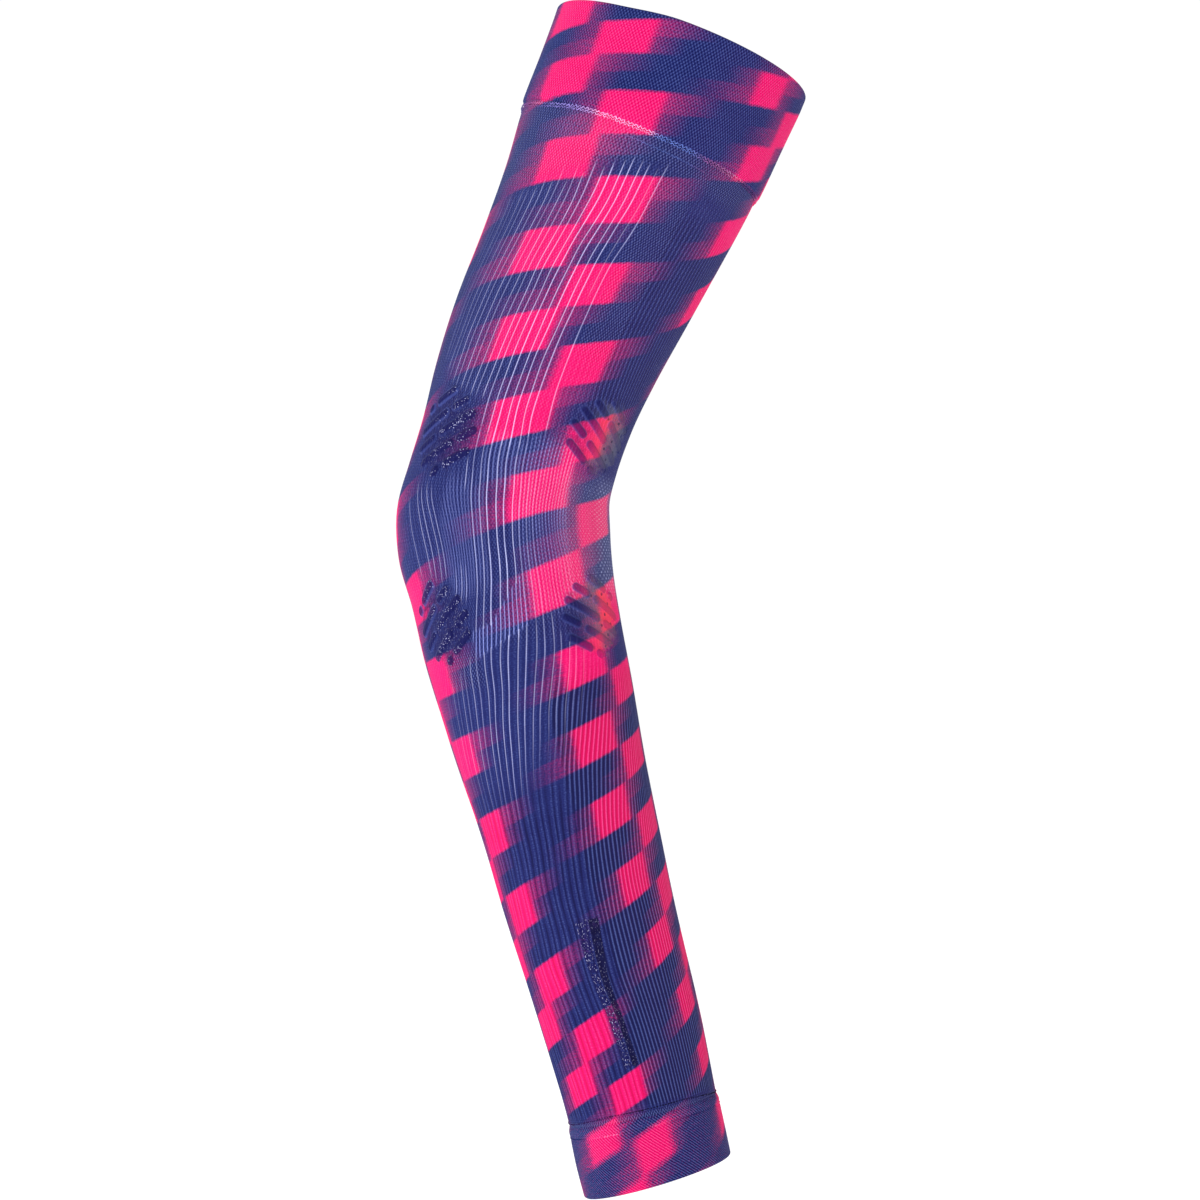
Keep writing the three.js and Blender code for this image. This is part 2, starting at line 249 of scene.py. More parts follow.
# ---------------------------------------------------------------- the staggered checks
# Row lines: where the upper edge of each row of checks crosses the front, how far it drops from there to the side that
# faces the elbow's point, and how far it bows.
ROW_COLUMNS = ["row", "front", "lean", "bow"]
ROW_LINES = np.array([
    [0, -12.6, 13.6, 4.4], [1, 0.2, 16.9, 3.9], [2, 13.0, 20.2, 3.4], [3, 27.3, 23.5, 3.0],
    [4, 43.6, 26.3, 2.5], [5, 59.4, 29.2, 1.4], [6, 77.7, 32.0, 0.3], [7, 93.9, 33.8, -0.8],
    [8, 110.5, 35.6, -1.9], [9, 126.6, 35.5, -2.8], [10, 143.5, 33.6, -3.8], [11, 159.7, 31.7, -4.8],
    [12, 174.8, 26.5, -4.9], [13, 192.4, 20.4, -5.0], [14, 211.8, 13.5, -4.4], [15, 228.3, 9.5, -3.8],
    [16, 243.2, 7.9, -3.2], [17, 258.1, 8.6, -2.7], [18, 271.8, 9.4, -2.5], [19, 285.9, 10.9, -2.3],
    [20, 299.5, 12.5, -2.2], [21, 313.4, 14.0, -2.0], [22, 326.9, 15.5, -1.8], [23, 340.9, 16.1, -2.0],
    [24, 354.4, 16.6, -2.2], [25, 367.9, 17.2, -2.3], [26, 380.9, 17.7, -2.5], [27, 393.4, 17.6, -2.7],
    [28, 404.7, 17.5, -2.8], [29, 415.3, 17.4, -2.9], [30, 429.2, 17.3, -3.0], [31, 442.4, 17.2, -3.1],
])
ROWS_A_TURN = 4  # the rows climb as a helix of four starts
# Checks: the turns of two neighbouring checks of each row, a towards the elbow's point and b towards the crook, with the
# width of each. The row repeats by the turn between them.
CHECK_COLUMNS = ["row", "turn_a", "width_a", "turn_b", "width_b"]
CHECKS = np.array([
    [0, 147.5, 28, 55.5, 22], [1, 112.7, 26.5, 22.5, 20], [2, 134.1, 27.5, 40.8, 17.5], [3, 98.2, 27.3, 11, 25],
    [4, 119.2, 27.5, 27.5, 21.5], [5, 182, 27, 86.8, 27], [6, 112.3, 27.5, 14.5, 28], [7, 188, 26, 81.2, 25.5],
    [8, 104.6, 29, 5, 28], [9, 183, 27, 69.4, 26.3], [10, 199, 31, 91.2, 33], [11, 180.5, 28, 50.1, 25.5],
    [12, 190, 33, 70.1, 35], [13, 160.5, 28, 29, 35], [14, 188, 33, 62.8, 35.5], [15, 155, 29.5, 23, 30],
    [16, 181, 30, 55.7, 33], [17, 154.7, 30, 22.4, 30], [18, 184, 30, 59.5, 31.5], [19, 148.8, 28, 26.3, 31.5],
    [20, 174.5, 28.5, 58.9, 28.5], [21, 142.1, 28.5, 25.7, 29.5], [22, 171, 28, 53.4, 25], [23, 133.9, 28.7, 21, 25],
    [24, 154.2, 30.5, 42.7, 24], [25, 112.4, 28.5, 8.5, 26], [26, 134.3, 28.7, 28.9, 23], [27, 97, 27, -7, 27],
    [28, 124.9, 31, 19.8, 21.5], [29, 86.6, 28.5, -18, 28], [30, 111, 27, 7, 27], [31, 75, 28, -30, 28],
])


def row_line(row, turn):
    """Where row lines cross these turns of the front half, from 0 to 180."""
    x = (turn - 90) / 90
    inside = np.clip(row, 0, 31)
    over = 13.5 * (row - inside)
    a, b, c = (np.interp(inside, ROW_LINES[:, 0], ROW_LINES[:, k]) for k in (1, 2, 3))
    return a + b * x + c * x * x + over


def row_line_all(row, turn):
    """The same right round: a line that leaves the front on the point side comes back four rows lower at the crook."""
    turn = np.mod(turn, 360)
    t = np.clip((turn - 180) / 180, 0, 1)
    e = 0.5
    p0, p1 = row_line(row, 180.0), row_line(row + ROWS_A_TURN, 0.0)
    m0 = (row_line(row, 180.0) - row_line(row, 180 - e)) / e * 180
    m1 = (row_line(row + ROWS_A_TURN, e) - row_line(row + ROWS_A_TURN, 0.0)) / e * 180
    back = (
        (2 * t**3 - 3 * t**2 + 1) * p0 + (t**3 - 2 * t**2 + t) * m0 + (3 * t**2 - 2 * t**3) * p1 + (t**3 - t**2) * m1
    )
    return np.where(turn <= 180, row_line(row, turn), back)


FIRST_ROW, LAST_ROW = -8, 38


def row_phase(along, turn):
    """Which row a place is in, and how far down it, as one number."""
    shape = np.broadcast_shapes(np.shape(along), np.shape(turn))
    s, t = np.broadcast_to(along, shape).ravel(), np.broadcast_to(turn, shape).ravel()
    t = np.where(t >= 360, t, np.where(t < 0, t + 360, t))
    wrapped = np.where(t >= 360, t - 360, t)
    shift = np.where(t >= 360, -ROWS_A_TURN, 0)
    phase = np.full(s.shape, float(FIRST_ROW))
    below = row_line_all(FIRST_ROW, wrapped)
    for row in range(FIRST_ROW, LAST_ROW):
        above, below = below, row_line_all(row + 1, wrapped)
        here = (s >= above) & (s < below)
        phase[here] = row + ((s - above) / np.maximum(below - above, 1e-6))[here]
    return (phase + shift).reshape(shape)


def check_row(row):
    return CHECKS[int(np.clip(row, row % 2, 30 + row % 2))]


def front_phase(row, turn):
    _, turn_a, _, turn_b, _ = check_row(row)
    return (turn_a - turn) / (turn_a - turn_b)


# Whole repeats to add to each row, so that rows of one parity count the same checks.
REPEATS = {}
for _row in range(-14, 60):
    _last = REPEATS.get(_row - 2)
    REPEATS[_row] = 0 if _last is None else round(front_phase(_row - 2, 100.0) + _last - front_phase(_row, 100.0))


def back_ends(row):
    """The phases at the two ends of a row's way round the back."""
    start = front_phase(row, 180.0) + REPEATS[row]
    _, turn_a, _, turn_b, _ = check_row(row)
    natural = start - 180 / (turn_a - turn_b)
    end = front_phase(row + ROWS_A_TURN, 0.0) + REPEATS[row + ROWS_A_TURN]
    return start, end - round(end - natural)


def check_phase_of(row, turn):
    """How many repeats a turn lies from a check's middle in this row, counted towards the crook."""
    start, end = back_ends(row)
    return np.where(turn <= 180, front_phase(row, turn) + REPEATS[row], start + (end - start) * (turn - 180) / 180)


def check_half_of(row, turn):
    """Half a check's width in repeats."""
    _, turn_a, width_a, turn_b, width_b = check_row(row)
    _, next_a, next_width_a, next_b, next_width_b = check_row(row + ROWS_A_TURN)
    start, end = back_ends(row)
    wide = np.interp(turn, [turn_b, turn_a], [width_b, width_a])
    t = np.clip((turn - 180) / 180, 0, 1)
    last = np.interp(180.0, [turn_b, turn_a], [width_b, width_a])
    after = np.interp(0.0, [next_b, next_a], [next_width_b, next_width_a])
    back = (last + (after - last) * t) * abs(end - start) / 180
    return 0.5 * np.where(turn <= 180, wide / (turn_a - turn_b), back)


def staircase(value_of, phase, turn, parity):
    """value_of for the rows of one parity. It moves from one row's value to the next one's while it is in the rows
    between them, where it isn't used."""
    t = np.where(turn < 0, turn + 360, turn)
    out = np.zeros(np.shape(phase))
    for row in range(FIRST_ROW + parity - 4, LAST_ROW + 4, 2):
        here = (phase >= row - 0.5) & (phase < row + 1.5)
        if not here.any():
            continue
        p, tt = phase[here], t[here]
        value = value_of(row, tt)
        up = np.clip((-0.2 - (p - row)) / 0.6, 0, 1)
        down = np.clip(((p - row) - 1.2) / 0.6, 0, 1)
        out[here] = value + up * (value_of(row - 2, tt) - value) + down * (value_of(row + 2, tt) - value)
    return out


def check_fields(phase, turn):
    """The attributes that a place's check colour needs: row phase, column phases and half widths of the two parities."""
    return [
        phase,
        staircase(check_phase_of, phase, turn, 0),
        staircase(check_phase_of, phase, turn, 1),
        staircase(check_half_of, phase, turn, 0),
        staircase(check_half_of, phase, turn, 1),
        np.interp(phase, CHECKS[:, 0], CHECKS[:, 1] - CHECKS[:, 3]) + 0 * turn,
    ]


# ---------------------------------------------------------------- relief pads and the strip above the wrist
PAD_COLUMNS = ["turn", "along", "half_turn", "half_along", "film"]
PADS = np.array([
    [135, 163, 22, 14.5, 0],
    [137, 222, 21, 14.5, 0],
    [40, 150, 24, 15.5, 1],
    [42, 231, 23, 15.5, 1],
])
# The raised bars of a pad, in the pad's own half sizes: spacing, half width, the break in each bar and its shift.
BAR_PITCH, BAR_HALF, BAR_BREAK, BAR_SHIFT = 0.40, 0.112, 0.10, 0.26
BAR_LEAN = math.radians(33)
STRIP_RIB = 17.1  # the rib that the strip follows
STRIP_FROM, STRIP_TO = 337.0, 392.0
STRIP_HALF = (2.15, 1.38)  # half its width at its top and below, in ribs
GROOVE_SHIFT = 0.40  # a groove lies this far beside its rib's pale line, in ribs


def pad_place(along, turn):
    """A place in each pad's own half sizes, from the pad's middle."""
    x = (front(turn)[..., None] - PADS[:, 0]) / PADS[:, 2]
    y = (along[..., None] - PADS[:, 1]) / PADS[:, 3]
    return x, y


def bar_profile(x, y, film):
    """Across a pad's bars: 1 on the middle line of a bar, 0 at its edge, below 0 beside it. The pads on the crook's side
    lean the other way."""
    x = x * (1 - 2 * film)
    u, v = x * math.cos(BAR_LEAN) + y * math.sin(BAR_LEAN), y * math.cos(BAR_LEAN) - x * math.sin(BAR_LEAN)
    k = np.clip(np.round(v / BAR_PITCH), -2, 2)
    end = np.sqrt(np.maximum(1 - (k * BAR_PITCH) ** 2, 0)) - BAR_HALF
    shift = BAR_SHIFT * (1 - 2 * np.mod(k, 2))
    over = np.max([np.abs(u) - end, BAR_BREAK / 2 + BAR_HALF - np.abs(u - shift), 0 * u], axis=0)
    return 1 - np.hypot(over, v - k * BAR_PITCH) / BAR_HALF


def zones(along, turn, rib):
    """Where the knit changes: pale inlay lines, coarse and fine, shaded grooves, coarse and fine, open mesh and pale mesh."""
    s, t = along + 0 * turn, front(turn) + 0 * along
    pale = line_strength(s, rib)
    # the fine bars beside the elbow begin and end on two slanting lines
    bars_from = np.interp(t, [80, 85, 92, 100, 104, 117], [206, 212, 217, 223, 226, 227.5])
    bars_to = np.interp(t, [80, 117], [228.5, 237.2])
    fine_pale = np.max(
        [
            0.80 * band(t, 53, 82, 4) * band(s, 157, 227, 8) * (1 - 0.32 * step(s, 184, 200)),
            0.60 * band(t, 80, 106, 6) * band(s, 160, 178, 6),
            0.50 * band(t, 99, 123, 6) * band(s, 177, 213, 8),
            1.00 * band(t, 83, 117, 1.5) * step(s, bars_from - 0.8, bars_from + 0.8) * (1 - step(s, bars_to - 0.8, bars_to + 0.8)),
            0.42 * band(t, 110, 121, 3) * band(s, 204, 215, 4),
            0.16 * band(t, 84, 128, 8) * band(s, 43, 54, 6),
        ],
        axis=0,
    )
    low = step(s, 272, 300) * (1 - step(s, 406.3, 407.8))
    dark = np.max(
        [
            low * step(t, 78, 88) * (1 - 0.2 * step(t, 170, 190)),
            0.30 * band(s, 50, 409, 8) * (1 - band(t, 0, 180, 20)),
            0.8 * low * (1 - step(t, -40, -15)),
        ],
        axis=0,
    )
    fine_dark = np.max(
        [
            0.42 * band(t, -75, 58, 8) * band(s, 60, 150, 16),
            1.00 * band(t, -30, 84, 6) * step(s, 240, 268) * (1 - step(s, 406.3, 407.8)),
            0.40 * band(s, 48, 160, 10) * step(t, 145, 165),
            0.40 * band(s, 140, 250, 10) * (1 - band(t, -30, 185, 20)),
        ],
        axis=0,
    )
    starts = np.interp(t, [50, 74, 100, 120, 140, 165], [50, 48, 55, 64, 72, 78])  # where the lines begin
    mesh = np.max(
        [
            1.0 * (1 - step(s, starts - 1, starts + 5)),
            0.45 * band(t, 100, 175, 12) * band(s, 44, 160, 10),
            0.35 * band(s, 44, 235, 10),
            0.8 * band(t, 54, 76, 6) * band(s, 48, 125, 14),
            1.0 * band(t, -30, 40, 10) * band(s, 165, 222, 10),
            0.6 * band(t, 35, 60, 10) * band(s, 170, 222, 10),
            0.8 * band(t, 116, 143, 5) * band(s, 233, 247, 5),
            0.8 * band(s, 409, 440, 2),
        ],
        axis=0,
    )
    pale_mesh = np.max(
        [
            1.0 * band(t, -50, 32, 14) * band(s, 166, 224, 10),
            0.62 * band(t, 30, 58, 12) * band(s, 168, 226, 10),
        ],
        axis=0,
    )
    return pale, fine_pale, dark, fine_dark, mesh, pale_mesh


# ---------------------------------------------------------------- meshes
def add_mesh(name, points, faces, materials, smooth=True):
    mesh = bpy.data.meshes.new(name)
    mesh.from_pydata([tuple(p) for p in points], [], faces)
    for m in materials:
        mesh.materials.append(m)
    mesh.polygons.foreach_set("use_smooth", [smooth] * len(mesh.polygons))
    mesh.update()
    piece = bpy.data.objects.new(name, mesh)
    bpy.context.scene.collection.objects.link(piece)
    return piece


def keep_vectors(mesh, attribute, *parts):
    data = np.stack([np.asarray(p).ravel() for p in parts], axis=-1).astype(np.float32)
    mesh.attributes.new(attribute, "FLOAT_VECTOR", "CORNER").data.foreach_set("vector", data.ravel())


def knit_tube(name, profile, columns, materials, relief, slide=None):
    """A closed tube wall. profile is a loop of (along, lift, face) rows, face 'out' or 'in'; relief(along, turn, rib) is
    added to the lift of the rows on the outside, and slide(along, turn) moves places along the sleeve. The mesh carries
    the knit's own coordinates at its corners, so that they have no jump at the wrap."""
    along = np.array([p[0] for p in profile])
    lift = np.array([p[1] for p in profile])
    out = np.array([p[2] == "out" for p in profile])
    base = np.arange(columns + 1) * 360.0 / columns
    order = np.argsort(along, kind="stable")
    turn = np.empty((len(along), columns + 1))
    turn[order] = rib_turn(along[order], base)
    wobble = 0.30 * smooth_noise(11, along / LENGTH, base / 360, 40, 48)
    turn = turn + wobble * band(along, UPPER_SEAM + 8, WRIST_SEAM - 3, 10)[:, None]
    rib = base[None, :] * RIBS / 360 + RIB_SHIFT + 0 * turn
    s = along[:, None] + 0 * turn
    height = lift[:, None] + np.where(out[:, None], relief(s, turn, rib), 0)
    placed = s if slide is None else s + slide(s, turn)
    points = on_sleeve(placed, turn, height)[:, :-1].reshape(-1, 3)

    n, c = len(along), columns
    j, i = np.meshgrid(np.arange(n), np.arange(c), indexing="ij")
    j2, i2 = (j + 1) % n, (i + 1) % c
    faces = np.stack([j * c + i, j * c + i2, j2 * c + i2, j2 * c + i], axis=-1).reshape(-1, 4)
    rows = np.stack([j, j, j2, j2], axis=-1).reshape(-1, 4)
    cols = np.stack([i, i + 1, i + 1, i], axis=-1).reshape(-1, 4)
    a, b, d, e = (points[faces[:, k]] for k in range(4))
    volume = (np.einsum("ij,ij->i", a, np.cross(b, d)) + np.einsum("ij,ij->i", a, np.cross(d, e))).sum()
    if volume < 0:
        faces, rows, cols = faces[:, ::-1], rows[:, ::-1], cols[:, ::-1]
    piece = add_mesh(name, points, faces.tolist(), materials)
    mesh = piece.data
    face_row = np.repeat(np.arange(n), c)
    inside = ~(out & out[(np.arange(n) + 1) % n])
    mesh.polygons.foreach_set("material_index", inside[face_row].astype(np.int32))

    around = np.mod(turn, 360)
    fields = [f[rows, cols] for f in check_fields(row_phase(s, around), around)]
    t = around[rows, cols]
    # where a face spans the crook line, its corners past the line count as the end of the last turn
    past = ((t.max(1) - t.min(1)) > 180)[:, None] & (t < 180)
    if past.any():
        for f, fixed in zip(fields, check_fields(fields[0][past] - ROWS_A_TURN, t[past] + 360)):
            f[past] = fixed
    keep_vectors(mesh, "check", *fields[:3])
    keep_vectors(mesh, "fade", *fields[3:])
    facing = front(turn)[rows, cols]
    facing = np.where(((facing.max(1) - facing.min(1)) > 180)[:, None] & (facing < 90), facing + 360, facing)
    keep_vectors(mesh, "knit", rib[rows, cols], s[rows, cols], facing)
    pale, fine_pale, dark, fine_dark, mesh_dots, pale_mesh = (z[rows, cols] for z in zones(s, turn, rib))
    x, y = pad_place(s, turn)
    nearest = np.hypot(x, y)[rows[:, 0], cols[:, 0]].argmin(-1)[:, None]  # one pad for the whole of a face
    film = PADS[nearest, 4] + 0 * pale
    keep_vectors(mesh, "inlay", pale, fine_pale, mesh_dots)
    keep_vectors(mesh, "groove", dark, fine_dark, film)
    keep_vectors(mesh, "pad", x[rows, cols, nearest], y[rows, cols, nearest], pale_mesh)

    # a map for baking: the outside as one sheet, the inside as a narrower one beside it
    run = np.concatenate([[0], np.cumsum(np.hypot(np.diff(along), np.diff(lift)))])
    total = run[-1] + np.hypot(along[0] - along[-1], lift[0] - lift[-1])
    ahead = np.concatenate([run[1:], [total]])
    shown = np.where(~inside)[0]
    o0, o1 = run[shown.min()], ahead[shown.max()]
    place = np.where((face_row[:, None] == n - 1) & (rows == 0), total, run[rows])
    is_in = inside[face_row][:, None]
    in_place = np.where(place < o1 - 1e-6, place + total, place) - o1
    v = np.where(is_in, in_place / (total - (o1 - o0)), (place - o0) / (o1 - o0))
    u = np.where(is_in, 0.82 + 0.17 * cols / c, 0.005 + 0.80 * cols / c)
    uv = np.stack([u, 0.01 + 0.98 * np.clip(v, 0, 1)], axis=-1)
    mesh.uv_layers.new(name="OFBake").data.foreach_set("uv", uv.astype(np.float32).ravel())
    mesh.update()
    return piece


def stitch_mesh(name, stitches, material, sides=6):
    """Many short rounded stitches joined in one mesh. Each is (along, turn) of its two ends, their lift, and a radius."""
    points, faces, home = [], [], []
    for k, (along, turn, lift, r) in enumerate(stitches):
        p, q = on_sleeve(np.array(along), np.array(turn), np.array(lift))
        axis = (q - p) / np.linalg.norm(q - p)
        side = np.cross(axis, [0.3, 0.2, 0.9])
        side /= np.linalg.norm(side)
        other = np.cross(axis, side)
        first = len(points)
        points.append(p - axis * r * MM)
        for end, shift, width in ((p, -0.75, 0.66), (p, 0.0, 1.0), (q, 0.0, 1.0), (q, 0.75, 0.66)):
            for m in range(sides):
                w = 2 * math.pi * m / sides
                points.append(end + r * MM * (shift * axis + width * (math.cos(w) * side + math.sin(w) * other)))
        points.append(q + axis * r * MM)
        last = len(points) - 1
        before = len(faces)
        for m in range(sides):
            n = (m + 1) % sides
            faces.append((first, first + 1 + n, first + 1 + m))
            for ring in range(3):
                a, b = first + 1 + ring * sides, first + 1 + (ring + 1) * sides
                faces.append((a + m, a + n, b + n, b + m))
            faces.append((last - sides + m, last - sides + n, last))
        home += [k] * sum(len(f) for f in faces[before:])
    piece = add_mesh(name, points, faces, [material])
    mid = np.array([[np.mean(along), np.mean(turn)] for along, turn, _, _ in stitches])
    around = np.mod(mid[:, 1], 360)
    fields = [np.asarray(f)[home] for f in check_fields(row_phase(mid[:, 0], around), around)]
    keep_vectors(piece.data, "check", *fields[:3])
    keep_vectors(piece.data, "fade", *fields[3:])
    keep_vectors(piece.data, "knit", mid[home, 1] * RIBS / 360 + RIB_SHIFT, mid[home, 0], front(mid[home, 1]))
    return piece


# ---------------------------------------------------------------- materials
def srgb(r, g, b):
    return tuple((v / 255 / 12.92) if v <= 10.3 else ((v / 255 + 0.055) / 1.055) ** 2.4 for v in (r, g, b)) + (1.0,)


NAVY = srgb(31, 40, 106)
PINK = srgb(242, 14, 114)
PALE_ON_NAVY, PALE_ON_PINK = srgb(200, 204, 255), srgb(255, 194, 250)
# What the shaded parts of the knit leave of each colour, and what its lit loops add.
DEEP_NAVY, DEEP_PINK = (0.33, 0.26, 0.48, 1.0), (0.79, 0.08, 0.56, 1.0)
LIT_NAVY, LIT_PINK = (0.050, 0.072, 0.155, 1.0), (0.05, 0.062, 0.110, 1.0)
# The pink's tail beside a check: how far it reaches, in degrees, and its strength, on the short and the long half of the
# row, towards the elbow's point and towards the crook.
POINT_REACH, POINT_SHARE = (25.0, 40.0), (0.29, 0.37)
CROOK_REACH, CROOK_SHARE = (17.0, 30.0), (0.30, 0.44)


class Graph:
    """Writes shader arithmetic as nodes."""

    def __init__(self, material):
        material.use_nodes = True
        self.tree = material.node_tree
        self.tree.nodes.clear()

    def new(self, kind, **settings):
        node = self.tree.nodes.new(kind)
        for key, value in settings.items():
            setattr(node, key, value)
        return node

    def put(self, socket, value):
        if isinstance(value, bpy.types.NodeSocket):
            self.tree.links.new(value, socket)
        else:
            socket.default_value = value

    def math(self, operation, *values):
        node = self.new("ShaderNodeMath", operation=operation)
        for k, value in enumerate(values):
            self.put(node.inputs[k], value)
        return node.outputs[0]

    def add(self, *values):
        total = values[0]
        for value in values[1:]:
            total = self.math("ADD", total, value)
        return total

    def sub(self, a, b):
        return self.math("SUBTRACT", a, b)

    def mul(self, *values):
        total = values[0]
        for value in values[1:]:
            total = self.math("MULTIPLY", total, value)
        return total

    def most(self, *values):
        total = values[0]
        for value in values[1:]:
            total = self.math("MAXIMUM", total, value)
        return total

    def least(self, a, b):
        return self.math("MINIMUM", a, b)

    def size(self, value):
        return self.math("ABSOLUTE", value)

    def between(self, a, b, share):
        return self.add(a, self.mul(self.sub(b, a), share))

    def step(self, value, low, high):
        """0 at low and 1 at high, smooth; low may be above high."""
        node = self.new("ShaderNodeMapRange", interpolation_type="SMOOTHSTEP")
        turned = low > high
        self.put(node.inputs["Value"], value)
        node.inputs["From Min"].default_value, node.inputs["From Max"].default_value = (high, low) if turned else (low, high)
        node.inputs["To Min"].default_value, node.inputs["To Max"].default_value = (1, 0) if turned else (0, 1)
        return node.outputs["Result"]

    def mix(self, share, a, b, blend="MIX"):
        node = self.new("ShaderNodeMix", data_type="RGBA", blend_type=blend)
        self.put(node.inputs[0], share)
        self.put(node.inputs[6], a)
        self.put(node.inputs[7], b)
        return node.outputs[2]

    def attribute(self, name):
        node = self.new("ShaderNodeAttribute", attribute_name=name)
        split = self.new("ShaderNodeSeparateXYZ")
        self.tree.links.new(node.outputs["Vector"], split.inputs[0])
        return split.outputs[0], split.outputs[1], split.outputs[2]

    def vector(self, x, y, z=0.0):
        node = self.new("ShaderNodeCombineXYZ")
        for k, value in enumerate((x, y, z)):
            self.put(node.inputs[k], value)
        return node.outputs[0]

    def noise(self, place, scale, detail=2.0, rough=0.5):
        """Noise about zero."""
        node = self.new("ShaderNodeTexNoise")
        self.put(node.inputs["Vector"], place)
        node.inputs["Scale"].default_value = scale
        node.inputs["Detail"].default_value = detail
        node.inputs["Roughness"].default_value = rough
        return self.sub(node.outputs[0], 0.5)

    def random(self, place):
        node = self.new("ShaderNodeTexWhiteNoise", noise_dimensions="1D")
        self.put(node.inputs["W"], place)
        return node.outputs["Value"]

    def wave(self, value):
        """cos of 2 pi times the value."""
        return self.math("COSINE", self.mul(value, 2 * math.pi))

    def off_line(self, value):
        """How far a value is from the nearest whole number, doubled: 0 on it, 1 half way to the next."""
        return self.mul(self.size(self.sub(value, self.math("ROUND", value))), 2.0)


def check_colour(g, edge, soft):
    """The checks' colour, and the share of pink in it. edge is how soft a check's two ends are, in repeats, and soft how
    soft its upper and lower edges are, in rows."""
    rib, along, turn = g.attribute("knit")
    phase, even, odd_phase = g.attribute("check")
    half_even, half_odd, repeat = g.attribute("fade")
    streak = g.noise(g.vector(g.mul(rib, 0.35), g.mul(along, 1.3)), 1.0, 2.0, 0.6)
    u = g.add(phase, g.mul(g.noise(g.vector(rib, g.mul(along, 0.3)), 1.3), 0.05))
    row = g.math("FLOOR", u)
    above = g.sub(0.5, g.sub(u, row))  # over 0 in the upper half of the row
    odd = g.math("FLOORED_MODULO", row, 2.0)
    # towards the point the tails are shorter on the crook's side of the sleeve
    inner_elbow = g.mul(g.step(turn, 104.0, 72.0), g.step(along, 172.0, 186.0), g.step(along, 236.0, 222.0))
    shorter = g.add(1.0, g.mul(inner_elbow, -0.62), g.mul(g.step(turn, 115.0, 55.0), 0.45), g.mul(g.step(turn, 0.0, -90.0), -0.25), g.mul(g.step(turn, 200.0, 270.0), 0.2))

    def pink(v, half, upper):
        x = g.add(g.sub(v, g.math("ROUND", v)), g.mul(streak, 0.028))
        off = g.sub(g.size(x), g.sub(half, 0.007))
        crook_way = g.step(x, -0.01, 0.01)
        long_half = g.step(g.mul(g.math("SIGN", x), upper), -0.035, 0.035)
        point_reach = g.math("DIVIDE", g.between(*POINT_REACH, long_half), shorter)
        reach = g.between(point_reach, g.between(*CROOK_REACH, long_half), crook_way)
        strength = g.between(g.between(*POINT_SHARE, long_half), g.between(*CROOK_SHARE, long_half), crook_way)
        near = g.most(g.sub(1.0, g.math("DIVIDE", g.mul(g.most(off, 0.0), repeat), reach)), 0.0)
        tail = g.mul(strength, near, near, g.add(1.0, g.mul(streak, 0.9)))
        return g.between(tail, 1.0, g.step(off, edge, -edge))

    here = pink(g.between(even, odd_phase, odd), g.between(half_even, half_odd, odd), above)
    beside = pink(g.between(odd_phase, even, odd), g.between(half_odd, half_even, odd), g.mul(g.math("SIGN", above), -0.5))
    share = g.between(here, beside, g.mul(0.5, g.step(g.size(above), 0.5 - soft, 0.5)))
    share = g.most(share, g.mul(0.008, g.step(turn, 84.0, 60.0)))
    return g.mix(share, NAVY, PINK), share


def fabric(g, colour, rough, height, depth):
    bump = g.new("ShaderNodeBump")
    bump.inputs["Strength"].default_value = 0.6
    bump.inputs["Distance"].default_value = depth
    g.put(bump.inputs["Height"], height)
    shader = g.new("ShaderNodeBsdfPrincipled")
    g.put(shader.inputs["Base Color"], colour)
    g.put(shader.inputs["Roughness"], rough)
    g.put(shader.inputs["Normal"], bump.outputs[0])
    shader.inputs["Specular IOR Level"].default_value = 0.07
    shader.inputs["Sheen Weight"].default_value = 0.025
    shader.inputs["Sheen Roughness"].default_value = 0.5
    shader.inputs["Sheen Tint"].default_value = (0.80, 0.82, 1.0, 1.0)
    output = g.new("ShaderNodeOutputMaterial")
    g.tree.links.new(shader.outputs[0], output.inputs[0])


